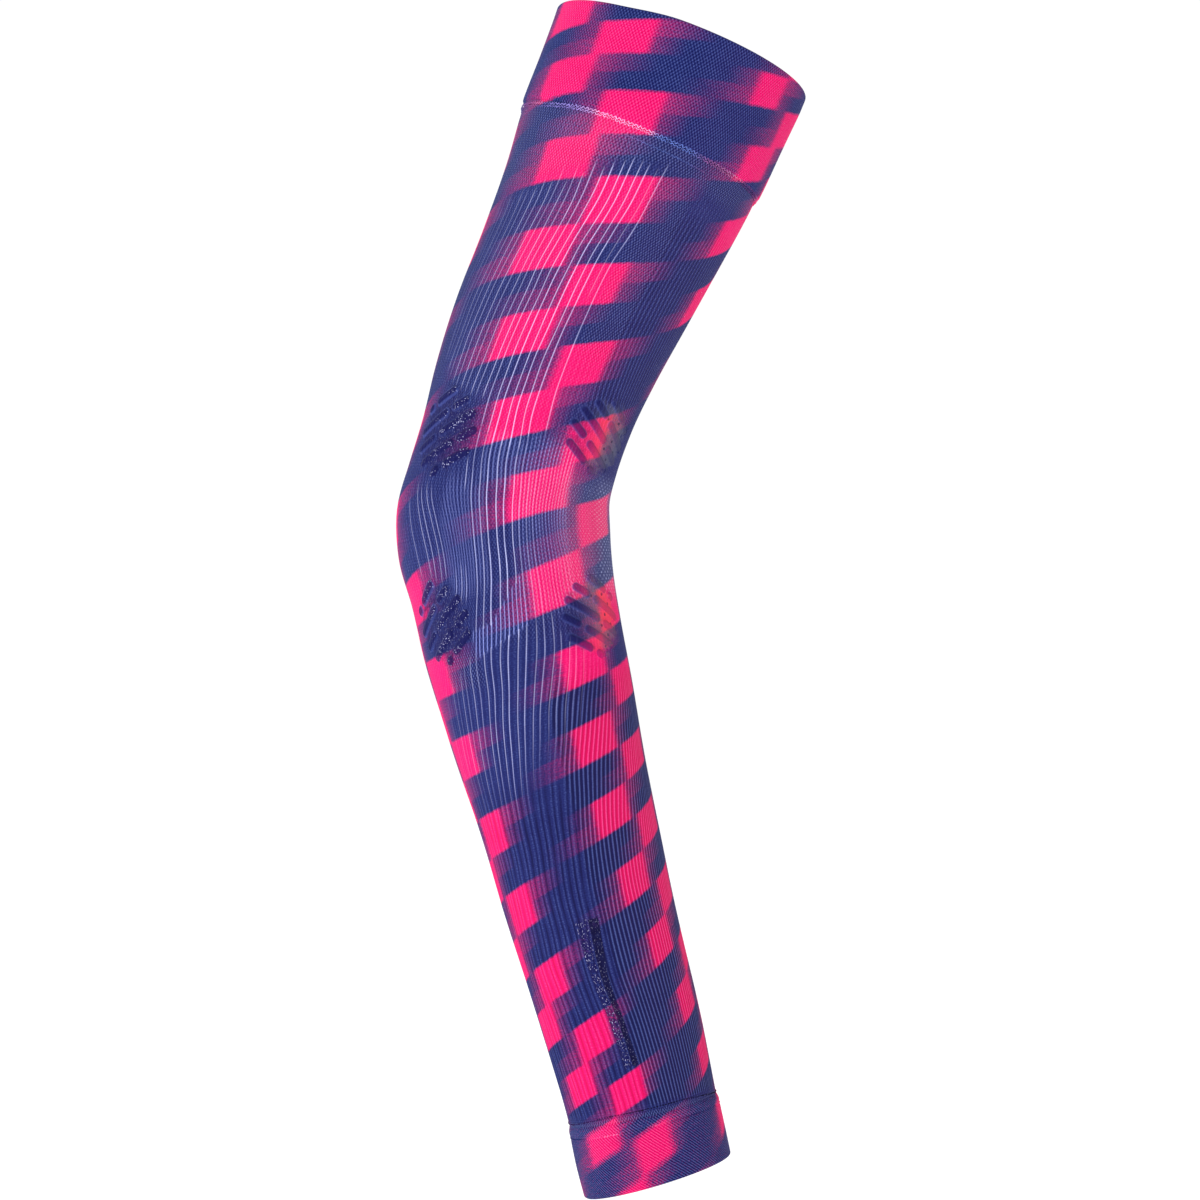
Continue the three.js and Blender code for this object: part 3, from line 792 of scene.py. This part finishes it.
def knit_material(name, kind, inside=False):
    """kind is body, upper or wrist: the rib knit, and the closer knits of the two cuffs."""
    material = bpy.data.materials.new(name)
    g = Graph(material)
    rib, along, turn = g.attribute("knit")
    colour, share = check_colour(g, *{"body": (0.024, 0.035), "upper": (0.028, 0.05), "wrist": (0.045, 0.10)}[kind])
    pale, fine_pale, dots = g.attribute("inlay")
    dark, fine_dark, film = g.attribute("groove")
    px, py, pale_mesh = g.attribute("pad")
    flat_place = g.vector(g.mul(rib, 2.5), along)
    # where navy fades into pink, single stitches keep one colour or the other
    stitchy = g.mul(g.noise(flat_place, 1.5, 1.0, 0.5), share, g.sub(1.0, share), {"body": 3.0, "upper": 3.0, "wrist": 7.0}[kind])
    share = g.most(g.least(g.add(share, stitchy), 1.0), 0.0)
    colour = g.mix(share, NAVY, PINK)

    # ---- the knit's shading, about zero: yarn grain and courses, then what each zone adds
    grain = g.noise(flat_place, 1.7, 1.5, 0.6)
    cloudy = g.noise(g.vector(g.mul(rib, 0.8), g.mul(along, 0.5)), 0.25, 2.0, 0.6)
    courses = g.wave(g.math("DIVIDE", along, 0.82))
    tone = g.add(g.mul(grain, 1.9), g.mul(cloudy, 0.5), g.mul(courses, 0.08))
    if kind == "wrist":
        twill = g.wave(g.add(g.mul(rib, 1.6), g.math("DIVIDE", along, 1.25)))
        loops = g.noise(flat_place, 1.9, 1.0, 0.5)
        tone = g.add(-0.12, tone, g.mul(twill, 1.05), g.mul(loops, 3.1))
        flecks = g.most(g.mul(g.noise(flat_place, 1.3, 1.0, 0.5), 0.48), 0.0)
        colour, share = g.mix(flecks, colour, PINK), g.most(share, flecks)
        height = g.add(g.mul(twill, 0.5), g.mul(grain, 0.5))
    else:
        lattice = g.mul(g.wave(g.mul(rib, 2.5)), g.wave(g.math("DIVIDE", along, 1.86)))
        hole = g.step(lattice, 0.10, 0.80)
        loop = g.step(lattice, 0.0, -0.8)
        strength = 1.0 if kind == "upper" else dots
        tone = g.add(tone, g.mul(g.sub(g.mul(loop, 0.85), g.mul(hole, 1.0)), strength))
        height = g.add(g.mul(g.sub(loop, hole), g.mul(strength, 0.6)), g.mul(grain, 0.5))
    if kind != "upper":
        # open mesh either side of the wrist seam
        beside = g.mul(g.step(along, WRIST_SEAM - 3.2, WRIST_SEAM - 2.4), g.step(along, WRIST_SEAM + 1.2, WRIST_SEAM + 0.4))
        eyes = g.step(g.mul(g.wave(g.mul(rib, 1.85)), g.wave(g.math("DIVIDE", along, 1.7))), 0.0, 0.6)
        tone = g.add(tone, g.mul(beside, g.sub(0.10, g.mul(eyes, 1.25))))
        under = g.mul(g.step(along, WRIST_SEAM - 1.8, WRIST_SEAM - 0.8), g.step(along, WRIST_SEAM + 5.0, WRIST_SEAM + 3.2))
        under = g.mul(under, g.step(turn, 24.0, 60.0), g.add(0.8, g.mul(grain, 1.2)))
        loops_between = g.step(g.mul(g.wave(g.mul(rib, 1.85)), g.wave(g.math("DIVIDE", along, 1.7))), -0.10, -0.70)
        tone = g.add(tone, g.mul(under, loops_between, 1.3))
    if kind == "body":
        paired = g.add(rib, g.mul(g.wave(g.mul(rib, 0.5)), 0.06))  # the ribs of a pair lie a little closer
        coarse = g.off_line(paired)
        gap = g.off_line(g.sub(paired, GROOVE_SHIFT))
        gap_id = g.math("ROUND", g.sub(paired, GROOVE_SHIFT))
        fine = g.off_line(g.mul(rib, 1.5))
        finest = g.off_line(g.mul(rib, 2.0))
        rib_id = g.math("ROUND", rib)
        own = g.random(gap_id)
        wander = g.add(0.85, g.mul(g.noise(g.vector(g.mul(gap_id, 7.1), g.mul(along, 0.09)), 1.0, 1.0), 1.3))
        deeper = g.add(0.72, g.mul(g.wave(g.mul(gap_id, 0.5)), 0.20), g.mul(own, 0.2))
        groove = g.mul(g.step(gap, 0.44, 0.12), wander, deeper)
        crest = g.step(gap, 0.50, 0.95)
        tone = g.add(tone, g.mul(dark, g.sub(g.mul(crest, 0.16), g.mul(groove, 1.35))))
        fine_groove = g.step(fine, 0.66, 0.22)
        fine_crest = g.step(fine, 0.50, 0.92)
        ribbing = g.sub(g.mul(fine_crest, 0.95), g.mul(fine_groove, 1.75))
        tone = g.add(tone, g.mul(ribbing, g.most(fine_dark, 0.15)))
        height = g.add(height, g.mul(ribbing, g.most(fine_dark, 0.2)), g.mul(dark, g.mul(groove, -0.8)))
    down = g.least(g.most(g.mul(tone, -1.0), 0.0), 1.0)
    up = g.least(g.most(tone, 0.0), 1.0)
    colour = g.mix(down, colour, g.mix(share, DEEP_NAVY, DEEP_PINK), "MULTIPLY")
    colour = g.mix(up, colour, g.mix(share, LIT_NAVY, LIT_PINK), "ADD")
    rough = g.add(0.80, g.mul(grain, 0.2))

    if kind == "body":
        # ---- a faint pale lift: the mesh's paler loops, a little all over, and a painted sheen on the upper arm towards the point
        pale_loops_and_sheen = g.add(0.008, g.mul(g.step(turn, 92.0, 120.0), g.step(along, 168.0, 140.0), 0.006), g.mul(loop, dots, 0.075))
        colour = g.mix(pale_loops_and_sheen, colour, g.mix(share, srgb(206, 208, 246), srgb(255, 190, 236)))

        # ---- pale inlay lines
        drift = g.add(0.92, g.mul(g.noise(g.vector(g.mul(rib_id, 5.3), g.mul(along, 0.11)), 1.0, 2.0), 0.9))
        beads = g.add(0.92, g.mul(courses, 0.08))
        crisp = g.step(fine_pale, 0.84, 0.96)
        fainter = g.between(1.0, 0.90, g.mul(g.step(turn, 104.0, 124.0), g.step(along, 150.0, 130.0)))
        line = g.mul(g.step(coarse, 0.20, 0.05), pale, drift, beads, fainter, g.sub(1.0, g.mul(crisp, 0.85)))
        # towards the crook the fine lines break into dots
        stagger = g.mul(g.math("ROUND", g.mul(rib, 2.0)), 0.5)
        dotted = g.add(0.90, g.mul(g.wave(g.add(g.math("DIVIDE", along, 1.6), stagger)), g.between(0.04, 0.40, g.step(turn, 90.0, 78.0))))
        fine_core = g.between(g.step(finest, 0.56, 0.12), g.step(finest, 0.34, 0.08), crisp)
        fine_line = g.mul(fine_core, fine_pale, g.mul(drift, g.between(0.50, 0.70, crisp)), dotted, g.sub(1.0, g.mul(share, 0.34)))
        colour = g.mix(g.least(g.mul(fine_line, 1.15), 0.95), colour, g.mix(share, srgb(156, 170, 255), PALE_ON_PINK))
        colour = g.mix(g.least(line, 0.95), colour, g.mix(share, PALE_ON_NAVY, PALE_ON_PINK))
        near_dots = g.step(g.mul(g.wave(g.mul(rib, 1.5)), g.wave(g.math("DIVIDE", along, 2.7))), 0.25, 0.80)
        far_dots = g.step(g.mul(g.wave(g.mul(rib, 0.8)), g.wave(g.math("DIVIDE", along, 2.7))), 0.25, 0.80)
        spots = g.between(g.mul(near_dots, 0.8), far_dots, g.step(turn, 42.0, 28.0))
        scatter = g.add(0.65, g.mul(g.noise(flat_place, 0.5, 1.0), 1.6))
        colour = g.mix(g.mul(pale_mesh, g.add(0.09, g.mul(spots, scatter, 0.70))), colour, g.mix(share, srgb(166, 176, 228), srgb(255, 172, 206)))

        # ---- relief pads: short leaning bars, over a thin film on the crook's side
        far = g.math("SQRT", g.add(g.mul(px, px), g.mul(py, py)))
        flip = g.mul(px, g.sub(1.0, g.mul(film, 2.0)))
        bar_u = g.add(g.mul(flip, math.cos(BAR_LEAN)), g.mul(py, math.sin(BAR_LEAN)))
        bar_v = g.sub(g.mul(py, math.cos(BAR_LEAN)), g.mul(flip, math.sin(BAR_LEAN)))
        bar = g.least(g.most(g.math("ROUND", g.math("DIVIDE", bar_v, BAR_PITCH)), -2.0), 2.0)
        middle = g.mul(bar, BAR_PITCH)
        end = g.sub(g.math("SQRT", g.most(g.sub(1.0, g.mul(middle, middle)), 0.0)), BAR_HALF)
        shift = g.mul(BAR_SHIFT, g.sub(1.0, g.mul(g.math("FLOORED_MODULO", bar, 2.0), 2.0)))
        over = g.most(g.sub(g.size(bar_u), end), g.sub(BAR_BREAK / 2 + BAR_HALF, g.size(g.sub(bar_u, shift))), 0.0)
        across = g.sub(bar_v, middle)
        away = g.math("SQRT", g.add(g.mul(over, over), g.mul(across, across)))
        profile = g.sub(1.0, g.math("DIVIDE", away, BAR_HALF))
        raised = g.step(profile, -0.05, 0.20)
        rim = g.mul(g.step(profile, -0.35, 0.10), g.step(profile, 0.50, 0.15))
        disc = g.step(far, 1.06, 0.94)
        plain = g.sub(1.0, film)
        cells = g.new("ShaderNodeTexVoronoi", feature="F1")
        g.put(cells.inputs["Vector"], flat_place)
        cells.inputs["Scale"].default_value = 1.85
        own_cell = g.new("ShaderNodeSeparateColor")
        g.tree.links.new(cells.outputs["Color"], own_cell.inputs[0])
        # places of the painted glints on the pads: small white specks of reflected light
        pad_glint_speck = g.mul(g.step(cells.outputs["Distance"], 0.46, 0.24), g.step(own_cell.outputs[0], 0.54, 0.78))
        patchy = g.mul(g.step(g.noise(flat_place, 0.18, 1.0), -0.18, 0.02), g.step(px, 0.60, -0.05))
        worn = g.noise(flat_place, 0.30, 2.0)
        ragged = g.step(g.add(far, g.mul(worn, 0.9)), 1.02, 0.70)
        tint = g.mul(ragged, film, g.step(px, 0.75, -0.35), g.add(0.92, g.mul(worn, 0.9)))
        colour = g.mix(g.mul(tint, 0.86), colour, g.mix(share, srgb(96, 99, 124), srgb(246, 74, 94)))
        holes = g.step(g.mul(g.wave(g.mul(px, 2.4)), g.wave(g.mul(py, 2.0))), 0.80, 0.95)
        colour = g.mix(g.mul(holes, tint, g.sub(1.0, raised), 0.8), colour, srgb(40, 34, 66))
        mottled = g.add(0.52, g.mul(g.noise(flat_place, 0.55, 2.0), 1.6))
        shadow = g.mul(g.most(plain, g.mul(0.7, g.step(px, 0.1, 0.7))), ragged, g.most(g.least(mottled, 1.0), 0.0))
        colour = g.mix(shadow, colour, srgb(30, 24, 80))
        ink = g.mix(share, srgb(22, 23, 84), srgb(74, 18, 90))
        colour = g.mix(g.mul(raised, g.between(0.92, g.between(0.40, 0.80, g.step(px, -0.1, 0.6)), film)), colour, ink)
        lit = g.mul(rim, disc, g.step(g.add(px, g.mul(py, -0.6)), -0.6, 0.8))
        colour = g.mix(g.mul(lit, g.between(0.36, 0.20, film)), colour, srgb(92, 108, 192))

        # ---- the strip: a row of short dashes beside a plain ridge
        width = g.between(STRIP_HALF[0], STRIP_HALF[1], g.step(along, STRIP_FROM - 4, STRIP_FROM + 32))
        sx = g.math("DIVIDE", g.sub(rib, STRIP_RIB), width)
        in_y = g.mul(g.step(along, STRIP_FROM - 0.5, STRIP_FROM + 0.5), g.step(along, STRIP_TO + 0.5, STRIP_TO - 0.5))
        ridge = g.mul(g.step(g.size(g.add(sx, 0.50)), 0.50, 0.34), in_y)
        dash = g.math("FRACT", g.add(g.math("DIVIDE", along, 4.2), g.mul(sx, 0.28)))
        dash = g.mul(g.step(dash, 0.0, 0.08), g.step(dash, 0.94, 0.86))
        dashes = g.mul(g.step(g.size(g.sub(sx, 0.46)), 0.56, 0.42), in_y, dash)
        strip = g.most(ridge, dashes)
        blotch = g.noise(flat_place, 0.42, 2.0)
        colour = g.mix(g.mul(strip, g.least(g.add(0.70, g.mul(ridge, 0.18), g.mul(blotch, 1.1)), 1.0)), colour, g.mix(ridge, srgb(22, 20, 80), srgb(13, 11, 56)))
        # painted glints on the strip's dashes and ridge: specks of reflected light, not dust
        strip_glint_mask = g.mul(g.step(g.noise(g.vector(g.mul(rib, 2.5), g.mul(along, 0.6)), 2.1, 1.0), 0.09, 0.22), g.add(0.95, g.mul(blotch, 2.2)))
        glint = g.most(g.mul(pad_glint_speck, plain, patchy, 0.80, g.most(raised, g.mul(shadow, 0.45))), g.mul(strip_glint_mask, g.most(g.mul(dashes, 0.85), g.mul(ridge, 0.26))))
        colour = g.mix(g.mul(g.most(glint, 0.0), 0.92), colour, srgb(206, 208, 255))
        height = g.add(height, g.mul(g.least(g.most(profile, 0.0), 0.5), 3.0), g.mul(strip, 0.8), g.mul(glint, 0.6))
        rough = g.sub(rough, g.mul(g.most(g.mul(raised, plain), strip), 0.10))

    if inside:
        colour = g.mix(0.34, colour, srgb(150, 140, 190))
    fabric(g, colour, rough, height, 0.00032)
    return material


def stitch_material(name, pale):
    """Yarn that shows the check it lies on, paled or darkened."""
    material = bpy.data.materials.new(name)
    g = Graph(material)
    rib, along, turn = g.attribute("knit")
    colour, share = check_colour(g, 0.03, 0.05)
    own = g.random(g.mul(rib, 3.7))
    place = g.new("ShaderNodeTexCoord").outputs["Object"]
    twist = g.noise(place, 2400.0, 1.0, 0.5)
    if pale:
        amount = g.mul(g.step(turn, 20.0, 92.0), g.step(turn, 156.0, 118.0))
        amount = g.mul(g.add(0.22, g.mul(amount, 0.74)), g.add(0.50, g.mul(own, 0.62)))
        blue = g.mix(g.step(turn, 98.0, 84.0), srgb(172, 158, 248), srgb(122, 148, 236))
        blue = g.mix(g.step(turn, 66.0, 54.0), blue, srgb(196, 120, 196))
        amount = g.mul(amount, g.between(1.0, 0.55, g.step(along, UPPER_SEAM + 2.6, UPPER_SEAM + 3.0)))
        colour = g.mix(amount, colour, g.mix(g.step(share, 0.0, 0.4), blue, srgb(255, 190, 246)))
    else:
        row = g.step(along, WRIST_SEAM, WRIST_SEAM + 1)  # 0 on the row above the seam, 1 on the cuff
        plain_row = g.mix(g.step(turn, 108.0, 124.0), srgb(9, 5, 32), srgb(44, 18, 72))
        cuff_row = g.mix(g.step(share, 0.2, 0.8), srgb(19, 14, 50), srgb(255, 120, 178))
        amount = g.between(0.95, g.add(0.28, g.mul(g.step(turn, 80.0, 88.0), g.step(turn, 140.0, 118.0), 0.62)), row)
        colour = g.mix(g.mul(amount, g.add(0.75, g.mul(own, 0.3))), colour, g.mix(row, plain_row, cuff_row))
    fabric(g, colour, g.add(0.68, g.mul(twist, 0.3)), twist, 0.0001)
    return material


BODY_KNIT = knit_material("body_knit", "body")
BODY_INSIDE = knit_material("body_knit_inside", "body", inside=True)
UPPER_KNIT = knit_material("upper_cuff_knit", "upper")
UPPER_INSIDE = knit_material("upper_cuff_knit_inside", "upper", inside=True)
WRIST_KNIT = knit_material("wrist_cuff_knit", "wrist")
WRIST_INSIDE = knit_material("wrist_cuff_knit_inside", "wrist", inside=True)
LINK_YARN = stitch_material("linking_yarn", pale=True)
TACK_YARN = stitch_material("stitching_yarn", pale=False)

# ---------------------------------------------------------------- the three knitted pieces
BODY_COLUMNS = RIBS * 4


def body_relief(along, turn, rib):
    pale, fine_pale, dark, fine_dark, mesh, pale_mesh = zones(along, turn, rib)
    groove = rib - GROOVE_SHIFT
    in_rib = np.abs(groove - np.round(groove))
    lift = -(0.06 + 0.18 * dark + 0.10 * pale) * np.clip(1 - in_rib / 0.26, 0, 1)
    x, y = pad_place(along, turn)
    bar = np.clip(bar_profile(x, y, PADS[:, 4]).max(-1), 0, 1)
    lift = lift * step(np.hypot(x, y).min(-1), 0.95, 1.15) + 0.85 * np.sqrt(1 - (1 - bar) ** 2)
    half = STRIP_HALF[0] + (STRIP_HALF[1] - STRIP_HALF[0]) * step(along, STRIP_FROM - 4, STRIP_FROM + 32)
    strip = band((rib - STRIP_RIB) / half, -1, 1, 0.3) * band(along, STRIP_FROM, STRIP_TO, 1.5)
    lift = lift + 0.35 * strip
    # the knit draws in where it is linked to the cuffs
    lift = lift - 0.12 * np.exp(-(((along - UPPER_SEAM) / 2.2) ** 2)) - 0.06 * np.exp(-(((along - WRIST_SEAM) / 1.8) ** 2))
    rows, wrap = along[:, 0] / LENGTH, np.linspace(0, 1, along.shape[1])
    lift = lift + 0.22 * smooth_noise(5, rows, wrap, 14, 9) * band(along, 60, 400, 30)
    return lift


def body_profile():
    top, end = UPPER_SEAM + 0.005, WRIST_SEAM - 0.005
    # closer rows where the pads are
    stops, counts = [top, 146.0, 182.0, 206.0, 248.0, end], [44, 42, 12, 50, 72]
    outer = [s for a, b, n in zip(stops, stops[1:], counts) for s in np.linspace(a, b, n, endpoint=False)]
    outer = [top, top + 0.03, *outer[1:], end - 1.2, end - 0.5, end - 0.03, end]
    inner = np.linspace(end, top, 24)
    return [(s, 0.0, "out") for s in outer] + [(s, -BODY_WALL, "in") for s in inner]


def cuff_profile(rim, seam, proud, ease, steps):
    """From the seam out to the free edge, round the turned edge, and back inside. The edge at the seam rises over ease."""
    way = 1 if seam > rim else -1
    low = proud - CUFF_WALL
    mid = proud - ROLL
    foot = 0.02
    outer = [(seam - way * 0.005, low + 0.55, "out")]
    outer += [
        (seam - way * (0.005 + ease * w), foot + (proud - foot) * math.sin(w * math.pi / 2), "out")
        for w in (0.0, 0.012, 0.12, 0.28, 0.46, 0.64, 0.82)
    ]
    outer += [(s, proud, "out") for s in np.linspace(seam - way * (0.005 + ease), rim + way * ROLL, steps)]
    roll = [
        (rim + way * ROLL * (1 - math.sin(w)), mid + ROLL * math.cos(w), "out")
        for w in np.linspace(0, math.pi, 13)[1:-1]
    ]
    inner = [(s, low, "in") for s in np.linspace(rim + way * ROLL, seam - way * 0.005, 14)]
    return outer + roll + inner


def upper_relief(along, turn, rib):
    near = np.exp(-(((along - UPPER_SEAM) / 3.0) ** 2))
    pucker = 0.14 * near * np.cos(2 * np.pi * rib * 0.75) - 0.15 * near
    soft = 0.18 * smooth_noise(3, along[:, 0] / 60, np.linspace(0, 1, along.shape[1]), 3, 11)
    return pucker + soft * band(along, 4, UPPER_SEAM - 4, 8)


def upper_slide(along, turn):
    """The free edge dips a little towards the elbow's point."""
    return 1.3 * band(front(turn), 106, 190, 30) * (1 - step(along, 2, 26))


def wrist_relief(along, turn, rib):
    near = np.exp(-(((along - WRIST_SEAM - 3.8) / 0.7) ** 2))
    soft = 0.12 * smooth_noise(4, (along[:, 0] - WRIST_SEAM) / 40, np.linspace(0, 1, along.shape[1]), 3, 9)
    return -0.22 * near + soft * band(along, WRIST_SEAM + 3, LENGTH - 3, 6)


body = knit_tube("sleeve_body_knit", body_profile(), BODY_COLUMNS, [BODY_KNIT, BODY_INSIDE], body_relief)
upper = knit_tube(
    "upper_cuff_knit",
    cuff_profile(0.0, UPPER_SEAM, UPPER_CUFF_PROUD, 1.8, 44),
    288,
    [UPPER_KNIT, UPPER_INSIDE],
    upper_relief,
    upper_slide,
)
wrist = knit_tube(
    "wrist_cuff_knit",
    cuff_profile(LENGTH, WRIST_SEAM, WRIST_CUFF_PROUD, 2.6, 44),
    240,
    [WRIST_KNIT, WRIST_INSIDE],
    wrist_relief,
)


# ---------------------------------------------------------------- linking and stitching
def upper_path(turn):
    """How far the linking drops towards the elbow's point."""
    return 2.0 * step(front(turn), 112, 150)


def wrist_path(turn):
    """How far the row above the wrist seam dips on either side of the front."""
    return 1.5 * step(front(turn), 105, 165) + 1.9 * (1 - step(front(turn), 5, 60))


def stitch_row(count, along, lift, reach_along, reach_turn, radius, seed, loose=0.1, path=None):
    """One row of stitches round the sleeve, every other one leaning the other way if reach_along is set."""
    rng = np.random.default_rng(seed)
    row = []
    for k in range(count):
        turn, lean = 360.0 * k / count, reach_along * (1 if k % 2 else -1)
        a = along + (path(turn) if path else 0) + np.array([-lean, lean]) + loose * rng.standard_normal(2)
        t = turn + np.array([-reach_turn, reach_turn]) + 0.08 * rng.standard_normal(2)
        row.append((a, t, lift + 0.05 * rng.standard_normal(2), radius * (1 + 0.15 * rng.standard_normal())))
    return row


upper_seam = stitch_mesh(
    "upper_seam_links",
    stitch_row(360, UPPER_SEAM - 0.45, 0.46, 0.36, 0.36, 0.17, 21, path=upper_path)
    + stitch_row(360, UPPER_SEAM + 0.45, 0.12, 0.26, 0.30, 0.15, 22, path=upper_path)
    + stitch_row(360, UPPER_SEAM + 4.0, 0.0, 0.20, 0.28, 0.13, 23)[55:96],
    LINK_YARN,
)
wrist_seam = stitch_mesh(
    "wrist_seam_stitches",
    stitch_row(156, WRIST_SEAM - 2.6, -0.08, 0.04, 0.22, 0.27, 31, 0.05, wrist_path)
    + stitch_row(144, WRIST_SEAM + 3.8, 0.45, 0.0, 0.26, 0.28, 32, 0.06),
    TACK_YARN,
)

for piece in (body, upper, wrist, upper_seam, wrist_seam):
    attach(piece, "root")
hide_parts("sleeve_body")
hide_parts("upper_cuff")
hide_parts("wrist_cuff")


# ---------------------------------------------------------------- floor, light and camera
floor_material = bpy.data.materials.new("floor_white")
fg = Graph(floor_material)
fd = fg.new("ShaderNodeBsdfPrincipled")
fd.inputs["Base Color"].default_value = (0.86, 0.86, 0.87, 1)
fd.inputs["Roughness"].default_value = 0.9
fd.inputs["Specular IOR Level"].default_value = 0.1
fd.inputs["Emission Color"].default_value = (1, 1, 1, 1)
fd.inputs["Emission Strength"].default_value = 0.42
fg.tree.links.new(fd.outputs[0], fg.new("ShaderNodeOutputMaterial").inputs[0])
FLOOR_Z, FLOOR_RADIUS = -0.47, 14.0
ring_points = [(FLOOR_RADIUS * math.cos(2 * math.pi * k / 96), FLOOR_RADIUS * math.sin(2 * math.pi * k / 96), FLOOR_Z) for k in range(96)]
floor = add_mesh("floor", ring_points, [tuple(range(96))], [floor_material], smooth=False)

world = bpy.data.worlds.new("soft_studio")
bpy.context.scene.world = world
wg = Graph(world)
sky = wg.new("ShaderNodeTexCoord").outputs["Generated"]
split = wg.new("ShaderNodeSeparateXYZ")
wg.tree.links.new(sky, split.inputs[0])
background = wg.new("ShaderNodeBackground")
behind = wg.step(split.outputs[1], 0.35, 0.75)
crook_side = wg.step(split.outputs[0], -0.2, 0.9)
wg.put(background.inputs["Color"], wg.mix(behind, wg.mix(crook_side, (1, 1, 1.02, 1), (1, 0.93, 0.84, 1)), (1, 1, 1, 1)))
wg.put(background.inputs["Strength"], wg.between(wg.between(0.70, 0.82, crook_side), 1.03, behind))
wg.tree.links.new(background.outputs[0], wg.new("ShaderNodeOutputWorld").inputs[0])


def area_light(name, place, towards, size, watts):
    data = bpy.data.lights.new(name, "AREA")
    data.shape, data.size, data.energy = "DISK", size, watts
    light = bpy.data.objects.new(name, data)
    bpy.context.scene.collection.objects.link(light)
    light.location = place
    light.rotation_euler = Vector(np.array(towards) - np.array(place)).to_track_quat("-Z", "Y").to_euler()
    return light


MIDDLE = (-0.03, 0.0, -0.205)
area_light("key", (-1.0, -2.0, -0.05), MIDDLE, 0.7, 14.0)
area_light("edge", (-1.7, 0.45, -0.2), MIDDLE, 0.8, 8.5)
area_light("fill", (1.2, -1.1, -1.2), (-0.02, 0.0, -0.36), 0.7, 3.0)

PITCH = math.radians(2.8)
DISTANCE = 1.1677
camera_data = bpy.data.cameras.new("camera")
camera_data.sensor_width = 36.0
camera_data.sensor_fit = "HORIZONTAL"
camera_data.lens = 94.68
camera_data.clip_end = 60.0
camera = bpy.data.objects.new("camera", camera_data)
bpy.context.scene.collection.objects.link(camera)
TARGET = (-0.03082, 0.0, -0.20488)
camera.location = (TARGET[0], TARGET[1] - DISTANCE * math.cos(PITCH), TARGET[2] - DISTANCE * math.sin(PITCH))
camera.rotation_euler = (math.pi / 2 + PITCH, 0, 0)
bpy.context.scene.camera = camera

view = bpy.context.scene.view_settings
view.view_transform = "Standard"
view.look = "None"
view.exposure = 0.0
view.gamma = 1.0
